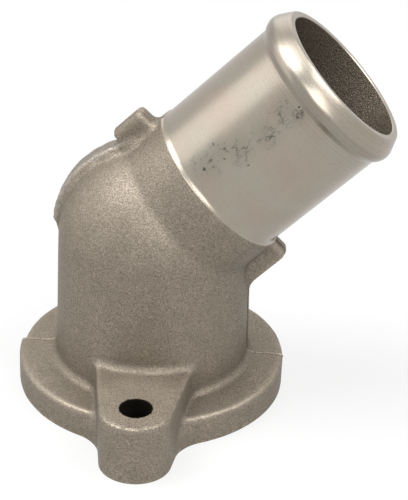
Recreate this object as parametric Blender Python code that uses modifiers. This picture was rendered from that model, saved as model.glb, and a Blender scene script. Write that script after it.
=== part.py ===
"""Thermostat housing: one light-alloy casting that carries coolant from an engine to its top hose.

Units are metres, +Z is up and the machined sealing face lies on z = 0. The hose neck leans towards
+X and the two bolt ears point to -Y and +Y. The origin is the middle of the footprint, so the
round body stands a little to the -X side of it.
"""
import math

import bmesh
import bpy
from mathutils import Matrix, Vector

MM = 0.001
DEG = math.radians(1.0)

# Hose spigot, turned on the neck's axis
HOSE_RADIUS = 19.05 * MM
HOSE_WALL = 2.6 * MM
SPIGOT_LENGTH = 38.05 * MM
BEAD_SETBACK = 4.15 * MM
BEAD_HEIGHT = 1.12 * MM
BEAD_CREST = 4.2 * MM
BEAD_FLANK = 30.0 * DEG
BEAD_ROOT = 1.6 * MM
NOSE_ANGLE = 30.0 * DEG

# Cast neck between the dome and the shoulder where the turning starts
SHOULDER_STEP = 0.65 * MM
SHOULDER_ROOT = 2.0 * MM
NECK_STAND = 10.45 * MM
NECK_DRAFT = 0.8 * DEG
NECK_BLEND = 6.0 * MM
NECK_BORE_TAPER = 0.5 * DEG

# Body, and the dome over it where the two axes meet
DOME_STEP = 2.85 * MM
BODY_WALL = 3.4 * MM
BODY_DRAFT = 1.3 * DEG
BEND_HEIGHT = 39.6 * MM
NECK_SLOPE = 45.0 * DEG

# Flange, with the recess that takes the valve's rim
FLANGE_WIDTH = 9.8 * MM
FLANGE_THICKNESS = 7.54 * MM
FLANGE_EDGE = 1.2 * MM
FLANGE_FILLET = 1.8 * MM
SEAT_LEDGE = 8.1 * MM
SEAT_DEPTH = 3.2 * MM
SEAT_CHAMFER = 0.5 * MM

# Bolt ears
BOLT_REACH = 5.7 * MM
BOLT_HOLE_RADIUS = 3.62 * MM
EAR_RADIUS = 8.45 * MM
EAR_TAPER = 9.0 * DEG
EAR_HEIGHT = 14.77 * MM
EAR_EDGE = 0.8 * MM
EAR_FILLET = 1.6 * MM
EAR_WEB_RADIUS = 4.0 * MM

# Ribs on the parting plane: a low pad with a square lug over the dome, and a lug in the crook
RIB_HALF = 2.5 * MM
RIB_EDGE = 1.0 * MM
PAD_HEIGHT = 1.5 * MM
PAD_FOOT_RISE = 1.9 * MM
PAD_FOOT_SLOPE = 1.4 * MM
PAD_FOOT_ROUND = 2.4 * MM
LUG_HEIGHT = 5.2 * MM
LUG_LENGTH = 8.9 * MM
LUG_SETBACK = 1.8 * MM
LUG_ROUND = 1.4 * MM
CROOK_SETBACK = 1.2 * MM
CROOK_ROUND = 1.8 * MM
CROOK_FILLET = 8.0 * MM

# Facets, how deep joined shapes are sunk into each other, and how far cutters stand clear
TURN_STEPS = 64
ARC_STEPS = 6
SINK = 0.05 * MM
BLEND_SINK = 0.2 * MM
CLEAR = 1.0 * MM
WELD = 0.001 * MM

# Places that follow from the sizes above
NECK_RADIUS = HOSE_RADIUS + SHOULDER_STEP
DOME_RADIUS = NECK_RADIUS + DOME_STEP
BORE_RADIUS = DOME_RADIUS - BODY_WALL
FLANGE_RADIUS = DOME_RADIUS + FLANGE_WIDTH
SEAT_RADIUS = BORE_RADIUS + SEAT_LEDGE
BOLT_RADIUS = FLANGE_RADIUS + BOLT_REACH
PAD_RADIUS = DOME_RADIUS + PAD_HEIGHT
LUG_REACH = NECK_RADIUS + LUG_HEIGHT
SHOULDER_AT = math.sqrt(DOME_RADIUS**2 - NECK_RADIUS**2) + NECK_STAND
MOUTH_AT = SHOULDER_AT + SPIGOT_LENGTH


# Outlines

def arc(centre, radius, start, end, steps=ARC_STEPS):
    """Points of an arc about centre, from one angle to another."""
    turn = (end - start) / steps
    angles = [start + turn * i for i in range(steps + 1)]
    return [(centre[0] + radius * math.cos(a), centre[1] + radius * math.sin(a)) for a in angles]


def rounded(corners):
    """A closed outline through corners (x, y, radius), each with an arc of its radius."""
    points = []
    for i, (x, y, radius) in enumerate(corners):
        corner = Vector((x, y))
        if not radius:
            points.append((x, y))
            continue
        back = (Vector(corners[i - 1][:2]) - corner).normalized()
        ahead = (Vector(corners[(i + 1) % len(corners)][:2]) - corner).normalized()
        half = back.angle(ahead) / 2
        centre = corner + (back + ahead).normalized() * (radius / math.sin(half))
        first = corner + back * (radius / math.tan(half)) - centre
        start = math.atan2(first.y, first.x)
        turn = math.copysign(math.pi - 2 * half, ahead.cross(back))
        points += arc(centre, radius, start, start + turn)
    return points


def body_radius(height):
    """Outside radius of the drafted body at a height below the bend."""
    return DOME_RADIUS + (BEND_HEIGHT - height) * math.tan(BODY_DRAFT)


def neck_point(along, across):
    """A point of the parting plane as (x, z), from its place along and across the neck's axis."""
    x = along * math.cos(NECK_SLOPE) - across * math.sin(NECK_SLOPE)
    return x, BEND_HEIGHT + along * math.sin(NECK_SLOPE) + across * math.cos(NECK_SLOPE)


def body_profile():
    """Outside of the body as (radius, z): the dome, the drafted wall and the flange fillet."""
    top = FLANGE_THICKNESS + FLANGE_FILLET - SINK
    wall = body_radius(top)
    foot = wall + FLANGE_FILLET
    dome = arc((0.0, BEND_HEIGHT), DOME_RADIUS, math.pi / 2, 0.0, 2 * ARC_STEPS)
    fillet = arc((foot, top), FLANGE_FILLET, math.pi, 1.5 * math.pi)
    middle = FLANGE_THICKNESS / 2
    return dome + fillet + [(foot, middle), (0.0, middle)]


def body_bore_profile():
    """Inside of the body as (radius, z), down through the valve seat and past the sealing face."""
    dome = arc((0.0, BEND_HEIGHT), BORE_RADIUS, math.pi / 2, 0.0, 2 * ARC_STEPS)
    ledge = body_radius(SEAT_DEPTH) - BODY_WALL
    flare = SEAT_RADIUS + SEAT_CHAMFER + CLEAR
    seat = [(ledge, SEAT_DEPTH), (SEAT_RADIUS, SEAT_DEPTH), (SEAT_RADIUS, SEAT_CHAMFER)]
    return dome + seat + [(flare, -CLEAR), (0.0, -CLEAR)]


def bead_profile():
    """The hose bead as (radius, distance along the neck), from the mouth's edge to its root."""
    crest_centre = (HOSE_RADIUS + BEAD_HEIGHT - BEAD_CREST, MOUTH_AT - BEAD_SETBACK)
    crest = arc(crest_centre, BEAD_CREST, NOSE_ANGLE, -BEAD_FLANK, 2 * ARC_STEPS)
    nose_radius, nose_at = crest[0]
    mouth_edge = nose_radius - (MOUTH_AT - nose_at) * math.tan(NOSE_ANGLE)
    flank_radius, flank_at = crest[-1]
    root_top = HOSE_RADIUS + BEAD_ROOT * (1 - math.cos(BEAD_FLANK))
    flank = (flank_radius - root_top) / math.tan(BEAD_FLANK)
    root_centre = (HOSE_RADIUS + BEAD_ROOT, flank_at - flank - BEAD_ROOT * math.sin(BEAD_FLANK))
    root = arc(root_centre, BEAD_ROOT, math.pi - BEAD_FLANK, math.pi, ARC_STEPS // 2)
    return [(mouth_edge, MOUTH_AT)] + crest + root


def neck_profile():
    """Outside of the neck as (radius, distance along it), from the mouth back into the dome."""
    rise = math.acos(1 - SHOULDER_STEP / SHOULDER_ROOT)
    shoulder_centre = (HOSE_RADIUS + SHOULDER_ROOT, SHOULDER_AT + SHOULDER_ROOT * math.sin(rise))
    shoulder = arc(shoulder_centre, SHOULDER_ROOT, math.pi, math.pi + rise, ARC_STEPS // 2)
    wide = NECK_RADIUS + NECK_STAND * math.tan(NECK_DRAFT)
    reach = DOME_RADIUS - BLEND_SINK + NECK_BLEND
    blend_centre = (wide + NECK_BLEND, math.sqrt(reach**2 - (wide + NECK_BLEND) ** 2))
    lean = math.atan2(blend_centre[1], blend_centre[0])
    blend = arc(blend_centre, NECK_BLEND, math.pi, math.pi + lean, ARC_STEPS // 2)
    return [(0.0, MOUTH_AT)] + bead_profile() + shoulder + blend + [(0.0, 0.0)]


def neck_bore_profile():
    """Inside of the neck as (radius, distance along it), from past the mouth to the bend."""
    taper = math.tan(NECK_BORE_TAPER)
    mouth = HOSE_RADIUS - HOSE_WALL + CLEAR * taper
    root = HOSE_RADIUS - HOSE_WALL - MOUTH_AT * taper
    return [(0.0, MOUTH_AT + CLEAR), (mouth, MOUTH_AT + CLEAR), (root, 0.0), (0.0, 0.0)]


def ear_outline(inset=0.0):
    """Plan of both bolt ears as one bar with round ends, widest across the body's axis."""
    radius = EAR_RADIUS - inset
    half_width = BOLT_RADIUS * math.tan(EAR_TAPER) + radius / math.cos(EAR_TAPER)
    near = arc((0.0, -BOLT_RADIUS), radius, -EAR_TAPER, EAR_TAPER - math.pi, 2 * ARC_STEPS)
    far = [(-x, -y) for x, y in near]
    return near + [(-half_width, 0.0)] + far + [(half_width, 0.0)]


def web_arc():
    """The concave arc between the rim and one side of an ear, from the rim to the ear."""
    side = BOLT_RADIUS * math.sin(EAR_TAPER) + EAR_RADIUS - SINK + EAR_WEB_RADIUS
    down = math.sqrt((FLANGE_RADIUS + EAR_WEB_RADIUS) ** 2 - side**2)
    x = side * math.cos(EAR_TAPER) - down * math.sin(EAR_TAPER)
    y = side * math.sin(EAR_TAPER) + down * math.cos(EAR_TAPER)
    return arc((x, y), EAR_WEB_RADIUS, math.atan2(y, x) + math.pi, math.pi + EAR_TAPER)


def flange_outline():
    """Plan of the flange: the round rim, running into each ear's sides by a concave arc."""
    web = web_arc()
    edge = math.atan2(web[0][1], web[0][0])
    half = arc((0.0, 0.0), FLANGE_RADIUS, -edge, edge, TURN_STEPS // 3)[1:-1] + web
    half += [(-x, y) for x, y in reversed(web)]
    return half + [(-x, -y) for x, y in half]


def pad_outline():
    """The rib over the dome as (x, z): the lug's mouth side, its top, and the pad down to its foot."""
    lug_end = SHOULDER_AT - LUG_SETBACK
    lug_start = lug_end - LUG_LENGTH
    meets_pad = math.sqrt(PAD_RADIUS**2 - lug_start**2)
    corners = [
        (*neck_point(SHOULDER_AT, NECK_RADIUS - SINK), 0.0),
        (*neck_point(lug_end, NECK_RADIUS - SINK), LUG_SETBACK - SINK),
        (*neck_point(lug_end, LUG_REACH), LUG_ROUND),
        (*neck_point(lug_start, LUG_REACH), LUG_ROUND),
    ]
    top = math.atan2(meets_pad, lug_start) + NECK_SLOPE
    low = math.pi - math.asin((PAD_FOOT_RISE + PAD_FOOT_ROUND) / PAD_RADIUS)
    corners += [(x, z, 0.0) for x, z in arc((0.0, BEND_HEIGHT), PAD_RADIUS, top, low, 2 * ARC_STEPS)]
    foot = BEND_HEIGHT + PAD_FOOT_RISE
    corners += [
        (-PAD_RADIUS, foot, PAD_FOOT_ROUND),
        (-(DOME_RADIUS - SINK), foot - PAD_FOOT_SLOPE, 0.0),
        (0.0, BEND_HEIGHT, 0.0),
    ]
    return rounded(corners)


def crook_outline():
    """The lug in the crook as (x, z): its end face, its flat edge along the neck, and the body."""
    end = SHOULDER_AT - CROOK_SETBACK
    draft = math.tan(BODY_DRAFT)
    cosine, sine = math.cos(NECK_SLOPE), math.sin(NECK_SLOPE)
    wall = DOME_RADIUS - SINK + LUG_REACH * (cosine * draft - sine)
    meets_body = neck_point(wall / (cosine + sine * draft), -LUG_REACH)
    low = meets_body[1] - 2 * CROOK_FILLET
    return rounded([
        (*neck_point(end, 0.0), 0.0),
        (*neck_point(end, -LUG_REACH), CROOK_ROUND),
        (*meets_body, CROOK_FILLET),
        (body_radius(low) - SINK, low, 0.0),
        (0.0, low, 0.0),
        (0.0, BEND_HEIGHT, 0.0),
    ])


# Solids

def remove_old_objects():
    for obj in list(bpy.data.objects):
        bpy.data.objects.remove(obj, do_unlink=True)


def new_collection(name):
    collection = bpy.data.collections.new(name)
    bpy.context.scene.collection.children.link(collection)
    return collection


def to_mesh(source, collection):
    """Replace an object by the closed mesh that its curve or its modifiers make."""
    depsgraph = bpy.context.evaluated_depsgraph_get()
    mesh = bpy.data.meshes.new_from_object(source.evaluated_get(depsgraph))
    shape = bmesh.new()
    shape.from_mesh(mesh)
    bmesh.ops.remove_doubles(shape, verts=shape.verts, dist=WELD)
    bmesh.ops.dissolve_degenerate(shape, edges=shape.edges, dist=WELD)
    bmesh.ops.dissolve_limit(shape, angle_limit=0.1 * DEG, verts=shape.verts, edges=shape.edges)
    bmesh.ops.recalc_face_normals(shape, faces=shape.faces)
    shape.to_mesh(mesh)
    shape.free()
    name = source.name
    matrix = source.matrix_world.copy()
    bpy.data.objects.remove(source, do_unlink=True)
    result = bpy.data.objects.new(name, mesh)
    result.matrix_world = matrix
    collection.objects.link(result)
    return result


def turned(name, profile, collection, lean=0.0, closed=False):
    """Turn a profile of (radius, height) about an axis through the bend or through z = 0."""
    mesh = bpy.data.meshes.new(name)
    links = [(i, i + 1) for i in range(len(profile) - 1)]
    if closed:
        links.append((len(profile) - 1, 0))
    mesh.from_pydata([(radius, 0.0, height) for radius, height in profile], links, [])
    source = bpy.data.objects.new(name, mesh)
    collection.objects.link(source)
    screw = source.modifiers.new("Turn", "SCREW")
    screw.axis = "Z"
    screw.steps = TURN_STEPS
    screw.render_steps = TURN_STEPS
    screw.use_merge_vertices = True
    screw.merge_threshold = WELD
    if lean:
        source.matrix_world = Matrix.Translation((0.0, 0.0, BEND_HEIGHT)) @ Matrix.Rotation(lean, 4, "Y")
        bpy.context.view_layer.update()
    return to_mesh(source, collection)


def plate(name, outline, thickness, collection, upright=False):
    """A flat outline with thickness, lying on z = 0, or standing upright across the parting plane."""
    curve = bpy.data.curves.new(name, "CURVE")
    curve.dimensions = "2D"
    curve.fill_mode = "BOTH"
    curve.extrude = thickness / 2
    spline = curve.splines.new("POLY")
    spline.points.add(len(outline) - 1)
    for point, (x, y) in zip(spline.points, outline):
        point.co = (x, y, 0.0, 1.0)
    spline.use_cyclic_u = True
    source = bpy.data.objects.new(name, curve)
    collection.objects.link(source)
    if upright:
        source.rotation_euler.x = math.pi / 2
    else:
        source.location.z = thickness / 2
    bpy.context.view_layer.update()
    return to_mesh(source, collection)


def round_rims(obj, width, both_sides):
    """Round the outline's edge on the upper side of a plate, or on both of its sides."""
    mesh = obj.data
    top = max(vertex.co.z for vertex in mesh.vertices)
    weights = mesh.attributes.new("bevel_weight_edge", "FLOAT", "EDGE")
    for edge in mesh.edges:
        heights = [mesh.vertices[i].co.z for i in edge.vertices]
        level = abs(heights[0] - heights[1]) < WELD
        if level and (both_sides or abs(heights[0] - top) < WELD):
            weights.data[edge.index].value = 1.0
    bevel = obj.modifiers.new("Rounded rim", "BEVEL")
    bevel.limit_method = "WEIGHT"
    bevel.width = width
    bevel.segments = 3


def combine(target, tool, operation):
    """Join a tool to the target, or cut the target with it. The tool stays as a hidden guide."""
    step = target.modifiers.new(f"{operation.title()} {tool.name}", "BOOLEAN")
    step.operation = operation
    step.solver = "EXACT"
    step.object = tool
    tool.hide_render = True
    tool.display_type = "WIRE"


def bolt_hole(name, side, collection):
    depth = EAR_HEIGHT + 2 * CLEAR
    bpy.ops.mesh.primitive_cylinder_add(
        vertices=TURN_STEPS // 2, radius=BOLT_HOLE_RADIUS, depth=depth,
        location=(0.0, side * BOLT_RADIUS, EAR_HEIGHT / 2))
    hole = bpy.context.object
    hole.name = name
    for owner in list(hole.users_collection):
        owner.objects.unlink(hole)
    collection.objects.link(hole)
    return hole


def ear_fillets(collection):
    """The fillet between the ears' tops and the body, which ends on the ears' rounded edges."""
    wall = body_radius(EAR_HEIGHT)
    foot = EAR_HEIGHT - SINK
    curve = arc((wall + EAR_FILLET, foot + EAR_FILLET), EAR_FILLET, math.pi, 1.5 * math.pi)
    inside = wall - BODY_WALL / 2
    low = EAR_HEIGHT - EAR_FILLET
    loop = curve + [(wall + EAR_FILLET, low), (inside, low), (inside, foot + EAR_FILLET)]
    ring = turned("ear_fillet_ring", loop, collection, closed=True)
    bar = plate("ear_fillet_bar", ear_outline(EAR_EDGE / 2), EAR_HEIGHT + 2 * EAR_FILLET, collection)
    combine(ring, bar, "INTERSECT")
    ring.hide_render = True
    return ring


def cast_alloy():
    material = bpy.data.materials.new("cast_alloy")
    material.use_nodes = True
    shader = material.node_tree.nodes["Principled BSDF"]
    shader.inputs["Base Color"].default_value = (0.36, 0.32, 0.27, 1.0)
    shader.inputs["Metallic"].default_value = 0.85
    shader.inputs["Roughness"].default_value = 0.55
    return material


def build_housing(parts, guides):
    """Join the body, flange, ears, neck and ribs, then open the bores and the bolt holes."""
    housing = turned("housing", body_profile(), parts)
    lean = math.pi / 2 - NECK_SLOPE
    flange = plate("flange", flange_outline(), FLANGE_THICKNESS, guides)
    round_rims(flange, FLANGE_EDGE, both_sides=False)
    ears = plate("ears", ear_outline(), EAR_HEIGHT, guides)
    round_rims(ears, EAR_EDGE, both_sides=False)
    neck = turned("neck", neck_profile(), guides, lean)
    pad = plate("pad_and_lug", pad_outline(), 2 * RIB_HALF, guides, upright=True)
    round_rims(pad, RIB_EDGE, both_sides=True)
    crook = plate("crook_lug", crook_outline(), 2 * RIB_HALF, guides, upright=True)
    round_rims(crook, RIB_EDGE, both_sides=True)
    for shape in (flange, ears, ear_fillets(guides), neck, pad, crook):
        combine(housing, shape, "UNION")
    cutters = [
        turned("body_bore", body_bore_profile(), guides),
        turned("neck_bore", neck_bore_profile(), guides, lean),
        bolt_hole("bolt_hole_near", -1, guides),
        bolt_hole("bolt_hole_far", 1, guides),
    ]
    for cutter in cutters:
        combine(housing, cutter, "DIFFERENCE")
    housing.data.materials.append(cast_alloy())
    housing.data.shade_smooth()
    return housing


def centre_footprint(housing, guides):
    """Put the origin under the middle of the outline, from the flange's rim to the mouth's edge."""
    reach = max(radius * math.sin(NECK_SLOPE) + along * math.cos(NECK_SLOPE)
                for radius, along in neck_profile())
    shift = Matrix.Translation(((FLANGE_RADIUS - reach) / 2, 0.0, 0.0))
    for obj in [housing, *guides.objects]:
        obj.matrix_world = shift @ obj.matrix_world


def main():
    remove_old_objects()
    parts = new_collection("thermostat_housing")
    guides = new_collection("guides")
    housing = build_housing(parts, guides)
    centre_footprint(housing, guides)


main()
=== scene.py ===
"""Looks of the thermostat housing: the casting with its fillets, parting line and ground-off gate, the
turned spigot, the finishes, and a plain white set with the photograph's view.

Units are metres in the frame's own coordinates. Shapes are worked out about the round body's axis,
where x = 0, and are moved to their place at the end. "Along" is distance from the bend along the
neck's axis, "across" is distance from that axis in the parting plane, positive towards the dome.
"""
import math

import bmesh
import bpy
import numpy as np
from mathutils import Matrix, Vector


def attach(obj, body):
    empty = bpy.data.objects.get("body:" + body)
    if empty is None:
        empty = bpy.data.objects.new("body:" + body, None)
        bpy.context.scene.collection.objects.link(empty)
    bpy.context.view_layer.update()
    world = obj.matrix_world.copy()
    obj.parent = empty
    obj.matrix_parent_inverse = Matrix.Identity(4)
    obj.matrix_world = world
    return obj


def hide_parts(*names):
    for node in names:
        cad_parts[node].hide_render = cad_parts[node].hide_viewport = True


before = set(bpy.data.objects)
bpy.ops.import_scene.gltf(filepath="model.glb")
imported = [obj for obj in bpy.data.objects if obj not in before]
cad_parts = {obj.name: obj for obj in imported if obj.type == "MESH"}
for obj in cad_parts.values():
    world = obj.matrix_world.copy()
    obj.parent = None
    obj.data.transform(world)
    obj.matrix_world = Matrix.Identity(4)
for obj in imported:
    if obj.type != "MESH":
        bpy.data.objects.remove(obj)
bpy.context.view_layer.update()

MM = 0.001
DEG = math.radians(1.0)

# The body's axis in the frame
AXIS_X = -11.3675 * MM

# Sizes of the housing
HOSE_RADIUS = 19.05 * MM
HOSE_WALL = 2.6 * MM
NECK_RADIUS = 19.7 * MM
NECK_DRAFT = 0.8 * DEG
NECK_BORE_TAPER = 0.5 * DEG
NECK_SLOPE = 45.0 * DEG
NECK_BLEND = 3.5 * MM
SHOULDER_AT = 21.42 * MM
SHOULDER_STEP = 0.65 * MM
SHOULDER_ROOT = 2.0 * MM
SHOULDER_LAND = 0.8 * MM
SHOULDER_SLANT = 35.0 * DEG
MOUTH_AT = 59.47 * MM
BEAD_SETBACK = 4.37 * MM
BEAD_HEIGHT = 1.12 * MM
BEAD_CREST = 3.0 * MM
BEAD_FLANK = 30.0 * DEG
BEAD_ROOT = 1.6 * MM
NOSE_ANGLE = 28.2 * DEG
MOUTH_BREAK = 0.25 * MM

DOME_RADIUS = 22.55 * MM
BODY_WALL = 3.4 * MM
BODY_DRAFT = 1.3 * DEG
BEND_HEIGHT = 39.6 * MM

FLANGE_RADIUS = 32.3 * MM
FLANGE_TOP = 7.6 * MM
FLANGE_DRAFT = 0.8 * DEG
FLANGE_EDGE = 1.1 * MM
FLANGE_FILLET = 1.9 * MM
SEAT_RADIUS = 27.25 * MM
SEAT_DEPTH = 3.2 * MM
SEAT_CHAMFER = 0.5 * MM

BOLT_RADIUS = 38.05 * MM
BOLT_HOLE_RADIUS = 3.62 * MM
EAR_RADIUS = 8.45 * MM
EAR_TAPER = 9.0 * DEG
EAR_HEIGHT = 14.77 * MM
EAR_EDGE = 0.8 * MM
EAR_FILLET = 1.3 * MM
EAR_WEB = 4.0 * MM

RIB_HALF = 2.5 * MM
RIB_EDGE = 0.9 * MM
PAD_RADIUS = 24.05 * MM
PAD_FOOT_RISE = 1.9 * MM
PAD_FOOT_SLOPE = 1.4 * MM
PAD_FOOT_ROUND = 2.4 * MM
PAD_FILLET = 0.7 * MM
PAD_SIDE_FILLET = 2.2 * MM
PAD_GROUND = 0.25 * MM
LUG_REACH = 24.9 * MM
LUG_START = 10.7 * MM
LUG_END = 19.6 * MM
LUG_ROUND = 1.3 * MM
LUG_FILLET = 1.8 * MM
CROOK_END = 20.2 * MM
CROOK_ROUND = 1.8 * MM
CROOK_FILLET = 8.0 * MM
CROOK_INSET = 0.2 * MM
CROOK_ROOT = 2.0 * MM

# The two halves of the mould don't quite match: the back half is shifted, with a smaller flange
BACK_SHIFT = 0.4 * MM
BACK_FLANGE = -0.5 * MM

# Flash at the parting plane: height, half widths at its tip and foot, depth of its root in the metal,
# distance between its rings, the long and the short wave of its ragged edge, and the shares of the
# height that are even, that follow the long wave and that follow the short one
FLASH_HEIGHT = 0.24 * MM
FLASH_TIP = 0.05 * MM
FLASH_FOOT = 0.75 * MM
FLASH_ROOT = 0.5 * MM
FLASH_STEP = 0.4 * MM
FLASH_WAVE = 11.0 * MM
FLASH_NICK = 1.5 * MM
FLASH_EVEN_SHARE = 0.45
FLASH_WAVE_SHARE = 0.6
FLASH_NICK_SHARE = 0.2

# Unevenness of the cast skin and of the ground gate: height and wavelengths, and waves in a ripple
RIPPLE_WAVES = 6
SWELL = 0.03 * MM
SWELL_SHORT = 9.0 * MM
SWELL_LONG = 23.0 * MM
PAD_ROUGH = 0.06 * MM
PAD_ROUGH_LONG = 3.2 * MM
PAD_ROUGH_SHORT = 1.7 * MM

# Meshing: grid, how the quads are evened out, steps round a turned shape and along the spigot's
# outline, how near a finish's outline a face has to lie, and the angle that shows as an edge
PITCH = 0.66 * MM
SETTLE_ROUNDS = 3
LEAST_SLOPE = 0.5
RELAX_ROUNDS = 4
RELAX_SHARE = 0.6
TURN_STEPS = 192
CREST_STEPS = 20
ROOT_STEPS = 6
SHOULDER_STEPS = 8
TUBE_STEPS = 24
FACE_FIT = 0.02 * MM
SHARP_ANGLE = 30 * DEG

# Room left round shapes, a hair for slopes and overlaps, and what keeps a division from zero
CLEAR = 2.0 * MM
HAIR = 0.01 * MM
TINY = 1e-9

# Cast skin: sizes of its grain, clumps and mottle, depth of the clumps, its shine, the painted shade of
# its hollows and roughness of its rubbed edges as shares, and how far round the bolt holes the ear tops
# are painted lighter as painted light, with the share of that which is lit all over
GRAIN_SIZE = 0.34 * MM
CLUMP_SIZE = 1.1 * MM
CLUMP_DEPTH = 0.03 * MM
MOTTLE_SIZE = 5.0 * MM
CAST_METALLIC = 0.55
CAST_SPECULAR = 0.12
CAST_SPECULAR_TINT = (0.5, 0.5, 0.5, 1.0)
PAINTED_HOLLOW_SHADE = 0.58
EDGE_ROUGHNESS = 0.7
SEAT_LIGHT_RADIUS = 14 * MM
SEAT_LIGHT_CORE = 0.7

# Turned metal: sizes of its rings, clouds, specks, scratches and their patches, depths of rings and
# specks, scale of the scratches' noise along the axis, which draws them out, and size and reach of the
# pits' ragged edges
RING_SIZE = 0.3 * MM
RING_DEPTH = 0.003 * MM
SPECK_SIZE = 0.55 * MM
SPECK_DEPTH = 0.004 * MM
CLOUD_SIZE = 8.0 * MM
SCRATCH_SIZE = 2.6 * MM
SCRATCH_PATCH = 2.0 * MM
SCRATCH_SCALE = 0.55
PIT_RAGGED_SIZE = 0.8 * MM
PIT_RAGGED_REACH = 1.5 * MM

# Scuffs and pits on the spigot: place along it, angle round it from its top, and size, with the share
# of a size that is marked all over, and the marks' colours
SCUFFS = [
    (27.5 * MM, 60 * DEG, 4.5 * MM),
    (31.5 * MM, 58 * DEG, 4.0 * MM),
    (35.5 * MM, 66 * DEG, 4.5 * MM),
    (42.5 * MM, 70 * DEG, 4.0 * MM),
    (49.0 * MM, 66 * DEG, 4.5 * MM),
    (51.0 * MM, 74 * DEG, 3.0 * MM),
]
PITS = [
    (21.9 * MM, 37 * DEG, 0.3 * MM),
    (35.0 * MM, 78 * DEG, 0.32 * MM),
    (26.4 * MM, 62 * DEG, 0.32 * MM),
    (31.5 * MM, 65 * DEG, 0.28 * MM),
    (52.0 * MM, 70 * DEG, 0.3 * MM),
    (55.6 * MM, 131 * DEG, 0.3 * MM),
]
SCUFF_CORE = 0.3
PIT_CORE = 0.6
WORN_TINT = (0.88, 0.915, 0.905, 1.0)
MARK_COLOUR = (0.07, 0.066, 0.06, 1.0)
MARK_STRENGTH = (0.85, 0.85, 0.85, 1.0)

# Bolt holes' walls, milled faces and the floor's paper: sizes and depths of their grain, the holes'
# shine, and the scale of the milling marks' noise along them
HOLE_GRAIN = 0.5 * MM
HOLE_GRAIN_DEPTH = 0.1 * MM
HOLE_SPECULAR = 0.05
MILL_MARK = 0.3 * MM
MILL_MARK_DEPTH = 0.004 * MM
MILL_SCALE = 0.05
PAPER_GRAIN = 1.5 * MM
PAPER_GRAIN_DEPTH = 0.01 * MM

# The floor shows this share of plain white near the housing and all of it from the far distance on,
# in metres, and the room lights the object at this level
FLOOR_GLOW = 0.75
GLOW_NEAR = 0.2
GLOW_FAR = 0.8
FLOOR_SIZE = 6.0
ROOM_LEVEL = 0.12

# Lamps: name, direction from the point at the bend's height on the frame's axis, power in watts and
# width in metres
LAMPS = [
    ("key_softbox", (-0.55, -0.05, 0.83), 6.3, 0.7),
    ("high_softbox", (-0.29, -0.12, 0.95), 6.4, 0.7),
    ("top_softbox", (0.0, 0.1, 1.0), 2.2, 0.7),
    ("right_softbox", (0.6, -0.1, 0.78), 7.4, 0.7),
    ("left_softbox", (-0.93, -0.04, 0.3), 3.0, 1.0),
    ("back_softbox", (0.0, 0.85, 0.5), 1.2, 0.7),
    ("front_softbox", (0.24, -0.79, 0.56), 5.9, 0.7),
]
LAMP_DISTANCE = 1.2

# Camera: lens in millimetres, the point it looks at, distance from that point, and its angles
LENS = 116.61
VIEW_POINT = (AXIS_X + 12.02 * MM, 0.0, 35.21 * MM)
VIEW_DISTANCE = 384.58 * MM
VIEW_TURN = 2.878 * DEG
VIEW_TILT = 28.53 * DEG
VIEW_ROLL = 2.071 * DEG

# Numbers of the sockets for the two colours that a Mix node takes, and for the one that it gives
MIX_A = 6
MIX_B = 7
MIX_RESULT = 2


# Fields: distance to a shape's surface, negative inside it

def join(a, b, fillet):
    """Union of two fields with a concave fillet where they meet."""
    corner = np.hypot(np.maximum(fillet - a, 0), np.maximum(fillet - b, 0))
    return np.maximum(fillet, np.minimum(a, b)) - corner


def meet(a, b, edge):
    """Intersection of two fields with a rounded edge where they meet."""
    corner = np.hypot(np.maximum(edge + a, 0), np.maximum(edge + b, 0))
    return np.minimum(-edge, np.maximum(a, b)) + corner


def ripple(x, y, z, wavelength, seed):
    """Smooth unevenness mostly between -1 and 1: a few plane waves in directions that the seed sets."""
    rng = np.random.default_rng(seed)
    total = 0.0
    for _ in range(RIPPLE_WAVES):
        way = rng.normal(size=3)
        way *= 2 * math.pi / (wavelength * np.linalg.norm(way))
        total = total + np.sin(way[0] * x + way[1] * y + way[2] * z + rng.uniform(0, 2 * math.pi))
    return total / (RIPPLE_WAVES / 2)


def neck_coordinates(x, z):
    """Distances along the neck and across it, in the parting plane's directions."""
    rise = z - BEND_HEIGHT
    along = x * math.cos(NECK_SLOPE) + rise * math.sin(NECK_SLOPE)
    across = rise * math.cos(NECK_SLOPE) - x * math.sin(NECK_SLOPE)
    return along, across


def round_body(x, y, z, radius):
    """Drafted round wall under a dome of the given radius, concentric with the bend."""
    rise = z - BEND_HEIGHT
    wall = (np.hypot(x, y) - radius + rise * math.tan(BODY_DRAFT)) * math.cos(BODY_DRAFT)
    dome = np.sqrt(x**2 + y**2 + rise**2) - radius
    return np.where(rise > 0, dome, wall)


def neck(x, y, z):
    """The cast neck, with stock round all that is turned."""
    along, across = neck_coordinates(x, z)
    radius = NECK_RADIUS + (SHOULDER_AT - along) * math.tan(NECK_DRAFT)
    cone = (np.hypot(across, y) - radius) * math.cos(NECK_DRAFT)
    bead = HOSE_RADIUS + BEAD_HEIGHT + CLEAR / 2
    stock = np.maximum(np.hypot(across, y) - bead, SHOULDER_AT + 2 * SHOULDER_LAND - along)
    ends = np.maximum(-along, along - MOUTH_AT - CLEAR / 2)
    return np.maximum(np.minimum(cone, stock), ends)


def at_bend(x, y, z, body, pipe, fillet):
    """Union of a round body and a pipe that leaves it at the bend, with a fillet where they meet.
    Their surfaces meet at a shallow angle, which sets how far the fillet reaches."""
    across = neck_coordinates(x, z)[1]
    rise = z - BEND_HEIGHT
    level, around = np.hypot(x, y) + TINY, np.hypot(across, y) + TINY
    on_dome = around / np.hypot(level, rise)
    on_wall = (y**2 - x * across * math.sin(NECK_SLOPE)) / (level * around)
    turn = np.arccos(np.clip(np.where(rise > 0, on_dome, on_wall), -1, 1))
    reach = fillet * np.tan(turn / 2) * np.sin(turn) + TINY
    near = np.maximum(1 - np.abs(body - pipe) / reach, 0)
    return np.minimum(body, pipe) - reach * near**2 / 4


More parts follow.
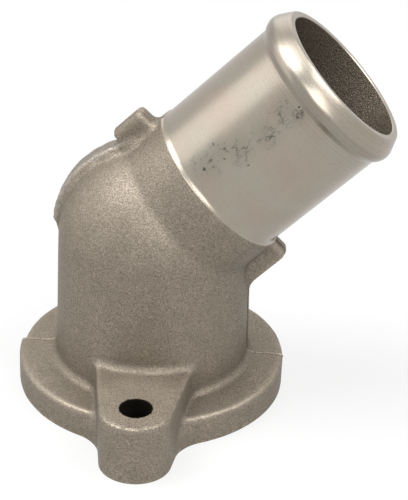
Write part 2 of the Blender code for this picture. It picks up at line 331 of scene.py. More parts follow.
def ear_plan(x, y):
    """Both ears as a bar with round ends that widens towards the middle."""
    side, reach = np.abs(x), np.abs(y) - BOLT_RADIUS
    cosine, sine = math.cos(EAR_TAPER), math.sin(EAR_TAPER)
    straight = side * cosine + reach * sine - EAR_RADIUS
    return np.where(reach * cosine > side * sine, np.hypot(side, reach) - EAR_RADIUS, straight)


def flange(x, y, z, radius):
    """Flange and ears, with a thin stock under the sealing face."""
    top = z - FLANGE_TOP + np.abs(y) * math.tan(FLANGE_DRAFT)
    disc = meet(np.hypot(x, y) - radius, top, FLANGE_EDGE)
    ears = meet(ear_plan(x, y), z - EAR_HEIGHT, EAR_EDGE)
    share = np.clip((FLANGE_TOP - z) / EAR_WEB, 0, 1)
    web = EAR_FILLET + (EAR_WEB - EAR_FILLET) * share * share * (3 - 2 * share)
    return np.maximum(join(disc, ears, web), -z - CLEAR / 2)


def pad(x, y, z):
    """The low pad over the dome where the gate was sawn and ground off."""
    rise = z - BEND_HEIGHT
    step = PAD_RADIUS - DOME_RADIUS
    slope = math.hypot(step, PAD_FOOT_SLOPE)
    out, down = x + DOME_RADIUS, rise - PAD_FOOT_RISE + PAD_FOOT_SLOPE
    foot = -(out * PAD_FOOT_SLOPE + down * step) / slope
    profile = meet(np.hypot(x, rise) - PAD_RADIUS, foot, PAD_FOOT_ROUND)
    profile = np.maximum(profile, -neck_coordinates(x, z)[1])
    rough = PAD_ROUGH * (ripple(x, y, z, PAD_ROUGH_LONG, 5) + ripple(x, y, z, PAD_ROUGH_SHORT, 6))
    return meet(profile, np.abs(y) - RIB_HALF + rough, RIB_EDGE / 2) + rough


def lug(x, y, z):
    """The lug on the outer bend, in front of the pad."""
    along, across = neck_coordinates(x, z)
    length = np.abs(along - (LUG_START + LUG_END) / 2) - (LUG_END - LUG_START) / 2
    profile = np.maximum(meet(length, across - LUG_REACH, LUG_ROUND), -across)
    return meet(profile, np.abs(y) - RIB_HALF, RIB_EDGE)


def crook_lug(x, y, z):
    """The lug in the crook, which runs into the body by a wide curve in its own plane: the field of its
    outline, and that of the lug itself."""
    along, across = neck_coordinates(x, z)
    block = meet(along - CROOK_END, -across - LUG_REACH, CROOK_ROUND)
    block = np.maximum(np.maximum(block, across), -x)
    inset = round_body(x, 0 * y, z, DOME_RADIUS - CROOK_INSET)
    profile = at_bend(x, 0 * y, z, inset, block, CROOK_FILLET)
    return profile, meet(profile, np.abs(y) - RIB_HALF, RIB_EDGE)


def waterway(x, y, z):
    """The cored inside: the drafted chamber under its dome, and the neck's tapered bore."""
    along, across = neck_coordinates(x, z)
    radius = HOSE_RADIUS - HOSE_WALL - (MOUTH_AT - along) * math.tan(NECK_BORE_TAPER)
    bore = np.maximum(np.hypot(across, y) - radius, -along)
    return at_bend(x, y, z, round_body(x, y, z, DOME_RADIUS - BODY_WALL), bore, NECK_BLEND)


def unevenness(x, y, z):
    """A slight waviness of the cast skin, inwards of the plain shape."""
    return SWELL * (2 + ripple(x, y, z, SWELL_SHORT, 3) + ripple(x, y, z, SWELL_LONG, 4))


def outside(x, y, z, back):
    """The outer surface of one half of the raw casting."""
    gate = pad(x, y, z)
    waves = unevenness(x, y, z)
    if back:
        x = x - BACK_SHIFT
    plate = flange(x, y, z, FLANGE_RADIUS + (BACK_FLANGE if back else 0.0))
    shape = at_bend(x, y, z, round_body(x, y, z, DOME_RADIUS), neck(x, y, z), NECK_BLEND)
    middle = np.minimum(round_body(x, 0 * y, z, DOME_RADIUS), neck(x, 0 * y, z))
    shape = join(shape, plate, FLANGE_FILLET)
    above_foot = np.clip((z - BEND_HEIGHT - 2 * PAD_FOOT_RISE) / (4 * PAD_FOOT_RISE), 0, 1)
    shape = join(shape, gate, PAD_FILLET + (PAD_SIDE_FILLET - PAD_FILLET) * above_foot)
    shape = join(shape, lug(x, y, z), LUG_FILLET)
    profile, crook = crook_lug(x, y, z)
    shape = join(shape, crook, np.clip(middle - profile, 0, CROOK_ROOT))
    return np.maximum(shape + waves, -z - CLEAR / 2)


def casting(x, y, z, back):
    """One half of the raw casting, before any machining."""
    return np.maximum(outside(x, y, z, back), unevenness(x, y, z) - waterway(x, y, z))


# Meshes

def new_object(name, points, faces):
    mesh = bpy.data.meshes.new(name)
    mesh.from_pydata(points, [], faces)
    obj = bpy.data.objects.new(name, mesh)
    bpy.context.scene.collection.objects.link(obj)
    return obj


def net(field, low, high):
    """Quads round a field's zero surface: one vertex in each grid cell that the surface crosses."""
    axes = [np.arange(a - 2 * PITCH, b + 3 * PITCH, PITCH) for a, b in zip(low, high)]
    values = field(*np.meshgrid(*axes, indexing="ij"))
    inside = values < 0
    spans = (slice(0, -1), slice(1, None))
    cells = sum(inside[i, j, k].astype(np.int8) for i in spans for j in spans for k in spans)
    crossed = np.argwhere((cells > 0) & (cells < 8))
    numbers = np.full(cells.shape, -1)
    numbers[tuple(crossed.T)] = np.arange(len(crossed))
    total = np.zeros((len(crossed), 3))
    count = np.zeros((len(crossed), 1))
    for axis in range(3):
        for corner in range(4):
            start = np.roll(np.array([corner & 1, corner >> 1, 0]), axis + 1)
            end = start + np.eye(3, dtype=int)[axis]
            a = values[tuple((crossed + start).T)]
            b = values[tuple((crossed + end).T)]
            cut = (a < 0) != (b < 0)
            share = np.where(cut, a / np.where(cut, a - b, 1), 0)[:, None]
            total += np.where(cut[:, None], start + share * (end - start), 0)
            count += cut[:, None]
    points = np.array([axis[0] for axis in axes]) + (crossed + total / count) * PITCH
    quads = []
    for axis in range(3):
        ahead = np.eye(3, dtype=int)[axis]
        side_a, side_b = np.roll(ahead, 1), np.roll(ahead, 2)
        near, far = (inside[tuple(span if i == axis else slice(None) for i in range(3))] for span in spans)
        edges = np.argwhere(near != far)
        leaving = near[tuple(edges.T)]
        ring = [edges - side_a - side_b, edges - side_b, edges, edges - side_a]
        quad = np.stack([numbers[tuple(corner.T)] for corner in ring], 1)
        quad[~leaving] = quad[~leaving][:, ::-1]
        quads.append(quad)
    return points, np.concatenate(quads)


def settle(points, field):
    """Move points onto a field's zero surface."""
    for _ in range(SETTLE_ROUNDS):
        value = field(*points.T)
        slope = np.stack([field(*(points + HAIR * unit).T) - value for unit in np.eye(3)], 1) / HAIR
        squared = np.maximum((slope**2).sum(1), LEAST_SLOPE**2)
        move = (value / squared)[:, None] * slope
        points = points - np.clip(move, -PITCH, PITCH)
    return points


def relax(points, quads, field):
    """Even out the quads, keeping the points on the surface."""
    for _ in range(RELAX_ROUNDS):
        total = np.zeros_like(points)
        count = np.zeros((len(points), 1))
        for i in range(4):
            for other in ((i + 1) % 4, (i + 3) % 4):
                np.add.at(total, quads[:, i], points[quads[:, other]])
                np.add.at(count, quads[:, i], 1)
        points = settle(points + RELAX_SHARE * (total / count - points), field)
    return points


def half_casting(name, back):
    """The front or the back half of the raw casting, a little past the parting plane."""
    def field(x, y, z):
        past = -y - CLEAR if back else y - CLEAR
        return np.maximum(casting(x, y, z, back), past)
    wide = FLANGE_RADIUS + 2 * CLEAR
    deep = BOLT_RADIUS + EAR_RADIUS + CLEAR / 2
    high = BEND_HEIGHT + (MOUTH_AT + HOSE_RADIUS) * math.sin(NECK_SLOPE) + 2 * CLEAR
    long = (MOUTH_AT + HOSE_RADIUS) * math.cos(NECK_SLOPE) + 2 * CLEAR
    low = (-wide, -CLEAR if back else -deep, -CLEAR / 2)
    points, quads = net(field, low, (long, deep if back else CLEAR, high))
    points = relax(points, quads, field)
    return new_object(name, points.tolist(), quads.tolist())


def turned(name, profile, lean=0.0):
    """A closed solid turned from (radius, height) points that start and end on its axis, which may lean
    from the bend."""
    angles = [2 * math.pi * i / TURN_STEPS for i in range(TURN_STEPS)]
    points = [(0.0, 0.0, profile[0][1]), (0.0, 0.0, profile[-1][1])]
    rings = []
    for radius, height in profile[1:-1]:
        rings.append(len(points))
        points += [(radius * math.cos(a), radius * math.sin(a), height) for a in angles]
    faces = []
    for i in range(TURN_STEPS):
        j = (i + 1) % TURN_STEPS
        faces.append((0, rings[0] + j, rings[0] + i))
        faces += [(a + i, a + j, b + j, b + i) for a, b in zip(rings, rings[1:])]
        faces.append((1, rings[-1] + i, rings[-1] + j))
    obj = new_object(name, points, faces)
    shape = bmesh.new()
    shape.from_mesh(obj.data)
    bmesh.ops.recalc_face_normals(shape, faces=shape.faces)
    if lean:
        shape.transform(Matrix.Translation((0, 0, BEND_HEIGHT)) @ Matrix.Rotation(lean, 4, "Y"))
    shape.to_mesh(obj.data)
    shape.free()
    return obj


def arc(centre, radius, start, end, steps):
    """Points of an arc, with its angles from the first axis."""
    turn = (end - start) / steps
    angles = [start + turn * i for i in range(steps + 1)]
    return [(centre[0] + radius * math.cos(a), centre[1] + radius * math.sin(a)) for a in angles]


def combine(target, tool, operation):
    """Join or cut target with tool, and drop the tool."""
    step = target.modifiers.new(operation, "BOOLEAN")
    step.operation = operation
    step.solver = "MANIFOLD"
    step.object = tool
    depsgraph = bpy.context.evaluated_depsgraph_get()
    mesh = bpy.data.meshes.new_from_object(target.evaluated_get(depsgraph))
    target.modifiers.clear()
    target.data = mesh
    bpy.data.objects.remove(tool, do_unlink=True)


def trim_half(half, back):
    """Cut a half at the parting plane, with a hair of overlap so that the two halves join."""
    size = 4 * (MOUTH_AT + HOSE_RADIUS)
    bpy.ops.mesh.primitive_cube_add(size=size)
    block = bpy.context.object
    offset = size / 2 + HAIR
    block.data.transform(Matrix.Translation((0, -offset if back else offset, 0)))
    combine(half, block, "DIFFERENCE")


# Flash along the parting plane

def parting_outline(side):
    """Points and outward directions along the casting's outline in the parting plane, from the flange's
    rim on one side (-1 or 1) up to the turned shoulder."""
    def field(x, z):
        return float(outside(np.float64(x), np.float64(0.0), np.float64(z), False))
    x, z = side * FLANGE_RADIUS, FLASH_STEP
    points, ways = [], []
    while neck_coordinates(x, z)[0] < SHOULDER_AT - 2 * SHOULDER_LAND:
        for _ in range(SETTLE_ROUNDS):
            value = field(x, z)
            slope_x = (field(x + HAIR, z) - value) / HAIR
            slope_z = (field(x, z + HAIR) - value) / HAIR
            length = math.hypot(slope_x, slope_z)
            x -= value * slope_x / length**2
            z -= value * slope_z / length**2
        points.append((x, z))
        ways.append((slope_x / length, slope_z / length))
        x -= side * FLASH_STEP * slope_z / length
        z += side * FLASH_STEP * slope_x / length
    return points, ways


def flash(side):
    """A thin ragged fin where the halves of the mould meet. It is ground off with the gate, and on the
    flange's rim."""
    points, ways = parting_outline(side)
    shape = bmesh.new()
    rings = []
    for (x, z), (way_x, way_z) in zip(points, ways):
        wave = FLASH_WAVE_SHARE * ripple(x, 0.0, z, FLASH_WAVE, 8)
        nick = FLASH_NICK_SHARE * ripple(x, 0.0, z, FLASH_NICK, 9)
        height = FLASH_HEIGHT * (FLASH_EVEN_SHARE + wave + nick)
        along, across = neck_coordinates(x, z)
        on_gate = math.hypot(x, z - BEND_HEIGHT) > PAD_RADIUS - PAD_GROUND
        ground = across > 0 and along < LUG_START and on_gate
        if ground or z < FLANGE_TOP - FLANGE_EDGE:
            height = -FLASH_HEIGHT
        corners = ((-FLASH_ROOT, FLASH_FOOT), (height, FLASH_TIP),
                   (height, -FLASH_TIP), (-FLASH_ROOT, -FLASH_FOOT))
        rings.append([shape.verts.new((x + way_x * out, y, z + way_z * out)) for out, y in corners])
    for ring, after in zip(rings, rings[1:]):
        for i in range(4):
            shape.faces.new((ring[i], ring[i - 1], after[i - 1], after[i]))
    shape.faces.new(rings[0])
    shape.faces.new(reversed(rings[-1]))
    bmesh.ops.recalc_face_normals(shape, faces=shape.faces)
    fin = new_object("flash", [], [])
    shape.to_mesh(fin.data)
    shape.free()
    return fin


# Machining

def bead_profile():
    """The mouth's face, nose, bead and bead root, from the bore's edge back to the plain tube."""
    crest_centre = (HOSE_RADIUS + BEAD_HEIGHT - BEAD_CREST, MOUTH_AT - BEAD_SETBACK)
    crest = arc(crest_centre, BEAD_CREST, NOSE_ANGLE, -BEAD_FLANK, CREST_STEPS)
    nose_radius, nose_at = crest[0]
    mouth_edge = nose_radius - (MOUTH_AT - nose_at) * math.tan(NOSE_ANGLE)
    flank_radius, flank_at = crest[-1]
    root_top = HOSE_RADIUS + BEAD_ROOT * (1 - math.cos(BEAD_FLANK))
    flank = (flank_radius - root_top) / math.tan(BEAD_FLANK)
    root_centre = (HOSE_RADIUS + BEAD_ROOT, flank_at - flank - BEAD_ROOT * math.sin(BEAD_FLANK))
    root = arc(root_centre, BEAD_ROOT, math.pi - BEAD_FLANK, math.pi, ROOT_STEPS)
    bore = HOSE_RADIUS - HOSE_WALL
    inside = MOUTH_AT - 2 * MOUTH_BREAK
    inner = [(0.0, inside), (bore - MOUTH_BREAK, inside),
             (bore + MOUTH_BREAK, MOUTH_AT), (mouth_edge - MOUTH_BREAK, MOUTH_AT)]
    corner = (mouth_edge + MOUTH_BREAK * math.tan(NOSE_ANGLE), MOUTH_AT - MOUTH_BREAK)
    return inner + [corner] + crest + root


def spigot_profile():
    """The whole turned outline, from the bore's edge back to the root and land of the shoulder."""
    rise = math.acos(1 - SHOULDER_STEP / SHOULDER_ROOT)
    root_centre = (HOSE_RADIUS + SHOULDER_ROOT, SHOULDER_AT + SHOULDER_ROOT * math.sin(rise))
    shoulder = arc(root_centre, SHOULDER_ROOT, math.pi, math.pi + rise, SHOULDER_STEPS)
    front = bead_profile()
    start, end = front[-1][1], shoulder[0][1]
    plain = [(HOSE_RADIUS, start + (end - start) * i / TUBE_STEPS) for i in range(1, TUBE_STEPS)]
    edge_radius, edge_at = shoulder[-1]
    land = (edge_radius + SHOULDER_LAND * math.sin(SHOULDER_SLANT),
            edge_at - SHOULDER_LAND * math.cos(SHOULDER_SLANT))
    return front + plain + shoulder + [land]


def spigot_cutter():
    """What turning takes off: all that lies outside the spigot's outline."""
    profile = spigot_profile()
    wide = 1.6 * HOSE_RADIUS
    beyond = MOUTH_AT + 4 * CLEAR
    last = [(wide, profile[-1][1]), (wide, beyond), (0.0, beyond)]
    return turned("spigot_cutter", profile + last, math.pi / 2 - NECK_SLOPE)


def base_profile():
    """The sealing face and the valve's recess in it."""
    return [(0.0, SEAT_DEPTH), (SEAT_RADIUS, SEAT_DEPTH), (SEAT_RADIUS, SEAT_CHAMFER),
            (SEAT_RADIUS + SEAT_CHAMFER, 0.0), (2 * BOLT_RADIUS, 0.0)]


def base_cutter():
    """What facing the flange and boring the recess take off."""
    below = [(2 * BOLT_RADIUS, -4 * CLEAR), (0.0, -4 * CLEAR)]
    return turned("base_cutter", base_profile() + below)


def hole_profile():
    """A bolt hole with its edges broken."""
    wide = BOLT_HOLE_RADIUS + CLEAR + MOUTH_BREAK
    return [(wide, EAR_HEIGHT + CLEAR), (BOLT_HOLE_RADIUS, EAR_HEIGHT - MOUTH_BREAK),
            (BOLT_HOLE_RADIUS, MOUTH_BREAK), (wide, -CLEAR)]


def drill(side):
    """What drilling takes off one ear (side -1 or 1)."""
    profile = [(0.0, EAR_HEIGHT + CLEAR), *hole_profile(), (0.0, -CLEAR)]
    tool = turned("drill", profile)
    tool.data.transform(Matrix.Translation((0, side * BOLT_RADIUS, 0)))
    return tool


def build_casting():
    """The finished casting: two cast halves and their flash, then turned, faced and drilled."""
    front = half_casting("housing_casting", back=False)
    trim_half(front, back=False)
    rear = half_casting("rear_half", back=True)
    trim_half(rear, back=True)
    combine(front, rear, "UNION")
    combine(front, flash(-1), "UNION")
    combine(front, flash(1), "UNION")
    for tool in (spigot_cutter(), base_cutter(), drill(-1), drill(1)):
        combine(front, tool, "DIFFERENCE")
    return front


# Finishes

def add(tree, kind, inputs=None, **settings):
    """A new shader node; its inputs are given as values or as the sockets that feed them."""
    node = tree.nodes.new("ShaderNode" + kind)
    for name, value in settings.items():
        setattr(node, name, value)
    for name, value in (inputs or {}).items():
        if isinstance(value, bpy.types.NodeSocket):
            tree.links.new(value, node.inputs[name])
        else:
            node.inputs[name].default_value = value
    return node


def new_material(name):
    material = bpy.data.materials.new(name)
    material.use_nodes = True
    tree = material.node_tree
    return material, tree, tree.nodes["Principled BSDF"]


def noise(tree, place, size, detail=2.0, roughness=0.5):
    """Noise with features of about the given size in metres."""
    return add(tree, "TexNoise", {"Vector": place, "Scale": 1.0 / size, "Detail": detail,
                                  "Roughness": roughness}).outputs["Fac"]


def ramp(tree, value, stops):
    """A colour or grey that follows a value through (position, colour) stops."""
    node = add(tree, "ValToRGB", {"Fac": value})
    elements = node.color_ramp.elements
    while len(elements) < len(stops):
        elements.new(0.5)
    for element, (position, colour) in zip(elements, stops):
        element.position = position
        element.color = (*colour, 1.0) if isinstance(colour, tuple) else (colour,) * 3 + (1.0,)
    return node.outputs["Color"]


def mix(tree, colour, other, share, kind):
    """Two colours mixed by a share, in one of a Mix node's ways."""
    node = add(tree, "Mix", {MIX_A: colour, MIX_B: other, "Factor": share}, data_type="RGBA",
               blend_type=kind)
    return node.outputs[MIX_RESULT]


def times(tree, colour, other):
    return mix(tree, colour, other, 1.0, "MULTIPLY")


def blend(tree, share, colour, other):
    return mix(tree, colour, other, share, "MIX")


def maximum(tree, value, other):
    return add(tree, "Math", {0: value, 1: other}, operation="MAXIMUM").outputs[0]


def bump(tree, height, distance, normal=None):
    """A surface normal tilted by a height, on top of another normal where one is given."""
    inputs = {"Height": height, "Distance": distance}
    if normal:
        inputs["Normal"] = normal
    return add(tree, "Bump", inputs).outputs["Normal"]


def fill(tree, shader, colour, roughness, normal):
    """Feed a shader its colour, roughness and normal."""
    tree.links.new(colour, shader.inputs["Base Color"])
    tree.links.new(roughness, shader.inputs["Roughness"])
    tree.links.new(normal, shader.inputs["Normal"])


def on_spigot(marks):
    """Points and sizes of marks given by their place along the spigot, angle round it and size."""
    return [((-HOSE_RADIUS * math.cos(angle), -HOSE_RADIUS * math.sin(angle), along), size)
            for along, angle, size in marks]


def near_spots(tree, place, spots, edge):
    """1 within a share (edge) of each spot's size, falling to 0 at its size."""
    near = 0.0
    for spot, size in spots:
        far = add(tree, "VectorMath", {0: place, 1: spot}, operation="DISTANCE").outputs["Value"]
        fall = add(tree, "MapRange", {"Value": far, "From Min": size, "From Max": edge * size})
        near = maximum(tree, fall.outputs["Result"], near)
    return near


def cast_finish(name, dark, light, depth):
    """Blasted as-cast skin: sandy grain of the given depth that glitters, over a slow mottle, rubbed
    smoother along its edges with a painted highlight there, painted light on the ear tops round the bolts'
    seats, and painted shade in its hollows."""
    material, tree, shader = new_material(name)
    place = add(tree, "TexCoord").outputs["Object"]
    fine = noise(tree, place, GRAIN_SIZE, 2.0, 0.6)
    coarse = noise(tree, place, CLUMP_SIZE, 2.0)
    tint = ramp(tree, fine, [(0.3, dark), (0.7, light)])
    mottle = ramp(tree, noise(tree, place, MOTTLE_SIZE, 4.0), [(0.3, 0.9), (0.7, 1.0)])
    mottle = times(tree, mottle, ramp(tree, coarse, [(0.3, 0.9), (0.7, 1.0)]))
    # Painted shade in the hollows and a painted highlight along the edges, both set by how pointed the
    # mesh is
    bend = add(tree, "NewGeometry").outputs["Pointiness"]
    shade = ramp(tree, bend, [(0.44, PAINTED_HOLLOW_SHADE), (0.5, 0.76), (0.55, 1.0)])
    # Painted light: the ear tops round the bolts are lightened, with a finer grain, as their top faces
    # catch the light
    bolts = [((AXIS_X, side * BOLT_RADIUS, EAR_HEIGHT), SEAT_LIGHT_RADIUS) for side in (-1, 1)]
    height = add(tree, "SeparateXYZ", {"Vector": place}).outputs["Z"]
    high = add(tree, "MapRange", {"Value": height, "From Min": EAR_HEIGHT - EAR_EDGE,
                                  "From Max": EAR_HEIGHT - EAR_EDGE / 2}).outputs["Result"]
    painted_seat_light = times(tree, near_spots(tree, place, bolts, SEAT_LIGHT_CORE), high)
    shade = blend(tree, painted_seat_light, shade, ramp(tree, fine, [(0.38, 0.82), (0.54, 1.0)]))
    tint = times(tree, times(tree, tint, mottle), shade)
    roughness = times(tree, ramp(tree, fine, [(0.35, 0.56), (0.7, 0.34)]),
                      ramp(tree, bend, [(0.5, 1.0), (0.55, EDGE_ROUGHNESS)]))
    shader.inputs["Metallic"].default_value = CAST_METALLIC
    shader.inputs["Specular IOR Level"].default_value = CAST_SPECULAR
    shader.inputs["Specular Tint"].default_value = CAST_SPECULAR_TINT
    skin = bump(tree, coarse, CLUMP_DEPTH)
    fill(tree, shader, tint, roughness, bump(tree, fine, depth, skin))
    return material


def hole_shade_finish():
    """The bolt holes' walls, dull and painted nearly black: painted shade inside the holes."""
    material, tree, shader = new_material("hole_wall_painted_shade")
    place = add(tree, "TexCoord").outputs["Object"]
    fine = noise(tree, place, HOLE_GRAIN, 3.0)
    tint = ramp(tree, fine, [(0.3, (0.004, 0.003, 0.002)), (0.7, (0.012, 0.01, 0.008))])
    roughness = ramp(tree, fine, [(0.3, 0.8), (0.7, 0.95)])
    shader.inputs["Specular IOR Level"].default_value = HOLE_SPECULAR
    fill(tree, shader, tint, roughness, bump(tree, fine, HOLE_GRAIN_DEPTH))
    return material


def spigot_marks(tree, place, speck):
    """Shares of worn metal, dark scuff marks and pits on the spigot."""
    strokes = add(tree, "Mapping", {"Vector": place, "Scale": (1.0, 1.0, SCRATCH_SCALE)}).outputs["Vector"]
    scratch = noise(tree, strokes, SCRATCH_SIZE, 4.0, 0.62)
    scratch = add(tree, "Math", {0: scratch, 1: 0.5}, operation="SUBTRACT").outputs[0]
    scratch = add(tree, "Math", {0: scratch}, operation="ABSOLUTE").outputs[0]
    scratch = ramp(tree, scratch, [(0.006, 1.0), (0.03, 0.0)])
    worn = near_spots(tree, place, on_spigot(SCUFFS), SCUFF_CORE)
    patchy = ramp(tree, noise(tree, place, SCRATCH_PATCH, 2.0), [(0.4, 0.0), (0.58, 1.0)])
    lines = times(tree, times(tree, scratch, patchy), worn)
    dots = times(tree, ramp(tree, speck, [(0.64, 0.0), (0.7, 1.0)]), times(tree, worn, patchy))
    marks = times(tree, mix(tree, lines, dots, 1.0, "LIGHTEN"), MARK_STRENGTH)
    ragged = add(tree, "TexNoise", {"Vector": place, "Scale": 1.0 / PIT_RAGGED_SIZE}).outputs["Color"]
    ragged = add(tree, "VectorMath", {0: ragged, 1: (0.5, 0.5, 0.5)}, operation="SUBTRACT").outputs[0]
    ragged = add(tree, "VectorMath", {0: ragged, 1: (PIT_RAGGED_REACH,) * 3, 2: place},
                 operation="MULTIPLY_ADD").outputs[0]
    return worn, marks, near_spots(tree, ragged, on_spigot(PITS), PIT_CORE)


def turned_finish(name, colour):
    """Lathe-turned metal, satin, with fine rings round the neck's axis, clouds, scuffs and a few pits."""
    material, tree, shader = new_material(name)
    place = add(tree, "Mapping", {"Vector": add(tree, "TexCoord").outputs["Object"],
                                  "Location": (AXIS_X, 0, BEND_HEIGHT),
                                  "Rotation": (0, math.pi / 2 - NECK_SLOPE, 0)},
                vector_type="TEXTURE").outputs["Vector"]
    height = add(tree, "SeparateXYZ", {"Vector": place}).outputs["Z"]
    rings = add(tree, "TexNoise", {"W": height, "Scale": 1.0 / RING_SIZE, "Detail": 3.0},
                noise_dimensions="1D").outputs["Fac"]
    cloud = noise(tree, place, CLOUD_SIZE, 4.0)
    speck = noise(tree, place, SPECK_SIZE, 2.0)
    worn, marks, pits = spigot_marks(tree, place, speck)
    to_mouth = add(tree, "MapRange", {"Value": height, "From Min": MOUTH_AT - 3 * BEAD_SETBACK,
                                      "From Max": MOUTH_AT}).outputs["Result"]
    tint = ramp(tree, cloud, [(0.3, (0.985, 0.92, 0.895)), (0.7, (0.985, 1.0, 0.975))])
    lathe = ramp(tree, rings, [(0.3, 0.95), (0.7, 1.0)])
    rubbed = ramp(tree, rings, [(0.35, 0.86), (0.6, 1.0)])
    at_bead = ramp(tree, to_mouth, [(0.0, 0.0), (0.35, 1.0)])
    tint = times(tree, tint, blend(tree, at_bead, lathe, rubbed))
    # Painted shade: the bead's crest and back flank are darkened to tone down their highlight
    tint = times(tree, tint, ramp(tree, to_mouth, [(0.44, 1.0), (0.5, 0.84), (0.7, 0.87), (0.77, 1.0)]))
    tint = times(tree, tint, ramp(tree, speck, [(0.3, 0.95), (0.7, 1.0)]))
    tint = times(tree, tint, (*colour, 1.0))
    tint = blend(tree, worn, tint, times(tree, tint, WORN_TINT))
    tint = blend(tree, marks, tint, MARK_COLOUR)
    tint = blend(tree, pits, tint, MARK_COLOUR)
    roughness = ramp(tree, cloud, [(0.3, 0.31), (0.7, 0.25)])
    skin = bump(tree, rings, RING_DEPTH)
    skin = bump(tree, speck, SPECK_DEPTH, skin)
    shader.inputs["Metallic"].default_value = 1.0
    fill(tree, shader, tint, roughness, skin)
    return material


def faced_finish(name, colour):
    """Milled metal with fine tool marks."""
    material, tree, shader = new_material(name)
    place = add(tree, "TexCoord").outputs["Object"]
    strokes = add(tree, "Mapping", {"Vector": place, "Scale": (MILL_SCALE, 1.0, 1.0)}).outputs["Vector"]
    lines = noise(tree, strokes, MILL_MARK, 2.0)
    tint = times(tree, ramp(tree, lines, [(0.3, 0.85), (0.7, 1.0)]), (*colour, 1.0))
    roughness = ramp(tree, lines, [(0.3, 0.26), (0.7, 0.36)])
    shader.inputs["Metallic"].default_value = 1.0
    fill(tree, shader, tint, roughness, bump(tree, lines, MILL_MARK_DEPTH))
    return material


def make_materials():
    """The finishes by name, in the order of the mesh's material slots."""
    return {
        "cast": cast_finish("cast_skin", (0.216, 0.18, 0.139), (0.445, 0.385, 0.311), 0.12 * MM),
        # The cored inside: a darker copy of the cast skin, painted shade inside the chamber and bore
        "core": cast_finish("core_skin_painted_shade", (0.1, 0.08, 0.06), (0.3, 0.248, 0.192), 0.18 * MM),
        "gate": cast_finish("gate_break", (0.26, 0.228, 0.189), (0.5, 0.447, 0.388), 0.22 * MM),
        "turned": turned_finish("turned_metal", (0.368, 0.333, 0.284)),
        "faced": faced_finish("faced_metal", (0.34, 0.315, 0.28)),
        # Painted shade inside the bolt holes
        "hole": hole_shade_finish(),
    }


# Piece

def off_profile(radius, height, profile):
    """Distance of points from an outline."""
    best = np.full(radius.shape, np.inf)
    for (r0, h0), (r1, h1) in zip(profile, profile[1:]):
        run, rise = r1 - r0, h1 - h0
        share = np.clip(((radius - r0) * run + (height - h0) * rise) / (run**2 + rise**2), 0, 1)
        best = np.minimum(best, np.hypot(radius - r0 - share * run, height - h0 - share * rise))
    return best


def finish_faces(obj, materials):
    """Give each face its finish by where it lies."""
    mesh = obj.data
    mesh.materials.clear()
    for material in materials.values():
        mesh.materials.append(material)
    order = list(materials)
    centres = np.empty(len(mesh.polygons) * 3)
    mesh.polygons.foreach_get("center", centres)
    x, y, z = centres.reshape(-1, 3).T
    along, across = neck_coordinates(x, z)
    rise = z - BEND_HEIGHT
    index = np.full(len(x), order.index("cast"))
    on_pad = (np.abs(y) < RIB_HALF + PAD_GROUND) & (np.hypot(x, rise) > DOME_RADIUS + PAD_GROUND)
    index[on_pad & (x < 0) & (rise > 0) & (along < LUG_START)] = order.index("gate")
    index[np.abs(waterway(x, y, z)) < BODY_WALL / 8] = order.index("core")
    index[off_profile(np.hypot(across, y), along, spigot_profile()) < FACE_FIT] = order.index("turned")
    index[off_profile(np.hypot(x, y), z, base_profile()) < FACE_FIT] = order.index("faced")
    from_bolt = np.hypot(x, np.abs(y) - BOLT_RADIUS)
    index[off_profile(from_bolt, z, hole_profile()) < FACE_FIT] = order.index("hole")
    mesh.polygons.foreach_set("material_index", index)


def make_housing():
    """The casting as the piece that stands for the frame's housing."""
    housing = build_casting()
    finish_faces(housing, make_materials())
    housing.data.transform(Matrix.Translation((AXIS_X, 0, 0)))
    housing.data.shade_smooth()
    housing.data.set_sharp_from_angle(angle=SHARP_ANGLE)
    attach(housing, "root")
    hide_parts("housing")


# Stage

def seen_rays(tree):
    """1 for the rays that show the background: to the camera, in metal and through glass."""
    rays = add(tree, "LightPath").outputs
    seen = maximum(tree, rays["Is Camera Ray"], rays["Is Glossy Ray"])
    return maximum(tree, seen, rays["Is Transmission Ray"])


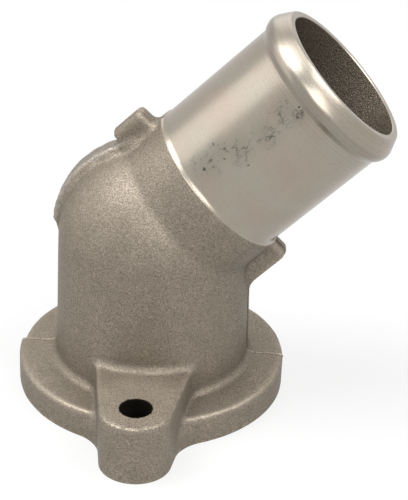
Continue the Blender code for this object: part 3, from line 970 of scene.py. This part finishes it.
def floor_finish():
    """White paper that mostly shows as plain white and keeps a soft shadow."""
    material, tree, shader = new_material("white_floor")
    place = add(tree, "TexCoord").outputs["Object"]
    fibres = noise(tree, place, PAPER_GRAIN, 3.0)
    tint = ramp(tree, fibres, [(0.3, 0.69), (0.7, 0.72)])
    roughness = ramp(tree, fibres, [(0.3, 0.8), (0.7, 0.9)])
    fill(tree, shader, tint, roughness, bump(tree, fibres, PAPER_GRAIN_DEPTH))
    glow = add(tree, "Emission", {"Color": (1, 1, 1, 1), "Strength": 1.0})
    far = add(tree, "VectorMath", {0: place}, operation="LENGTH").outputs["Value"]
    white = add(tree, "MapRange", {"Value": far, "From Min": GLOW_NEAR, "From Max": GLOW_FAR,
                                   "To Min": FLOOR_GLOW})
    share = add(tree, "Math", {0: seen_rays(tree), 1: white.outputs["Result"]}, operation="MULTIPLY")
    both = add(tree, "MixShader", {0: share.outputs[0], 1: shader.outputs[0], 2: glow.outputs[0]})
    tree.links.new(both.outputs[0], tree.nodes["Material Output"].inputs["Surface"])
    return material


def soft_lamp(name, toward, power, width):
    """A large square lamp that faces the housing from the given direction."""
    lamp = bpy.data.lights.new(name, "AREA")
    lamp.size = width
    lamp.energy = power
    obj = bpy.data.objects.new(name, lamp)
    bpy.context.scene.collection.objects.link(obj)
    way = Vector(toward).normalized()
    obj.location = way * LAMP_DISTANCE + Vector((0, 0, BEND_HEIGHT))
    obj.rotation_euler = way.to_track_quat("Z", "Y").to_euler()


def set_world():
    """A white room that lights the object less than it shows."""
    world = bpy.data.worlds.new("white_room")
    world.use_nodes = True
    bpy.context.scene.world = world
    tree = world.node_tree
    level = add(tree, "MapRange", {"Value": seen_rays(tree), "To Min": ROOM_LEVEL, "To Max": 1.0})
    tree.links.new(level.outputs["Result"], tree.nodes["Background"].inputs["Strength"])
    tree.nodes["Background"].inputs["Color"].default_value = (1, 1, 1, 1)


def set_camera():
    """The photograph's view."""
    data = bpy.data.cameras.new("camera")
    data.lens = LENS
    camera = bpy.data.objects.new("camera", data)
    bpy.context.scene.collection.objects.link(camera)
    look = (Matrix.Translation(VIEW_POINT) @ Matrix.Rotation(VIEW_TURN, 4, "Z")
            @ Matrix.Rotation(math.pi / 2 - VIEW_TILT, 4, "X") @ Matrix.Rotation(VIEW_ROLL, 4, "Z"))
    camera.matrix_world = look @ Matrix.Translation((0, 0, VIEW_DISTANCE))
    bpy.context.scene.camera = camera


def set_stage():
    """Floor, room, lamps and camera."""
    bpy.context.scene.view_settings.view_transform = "Standard"
    bpy.ops.mesh.primitive_plane_add(size=FLOOR_SIZE)
    floor = bpy.context.object
    floor.name = "floor"
    floor.data.materials.append(floor_finish())
    set_world()
    for lamp in LAMPS:
        soft_lamp(*lamp)
    set_camera()


make_housing()
set_stage()
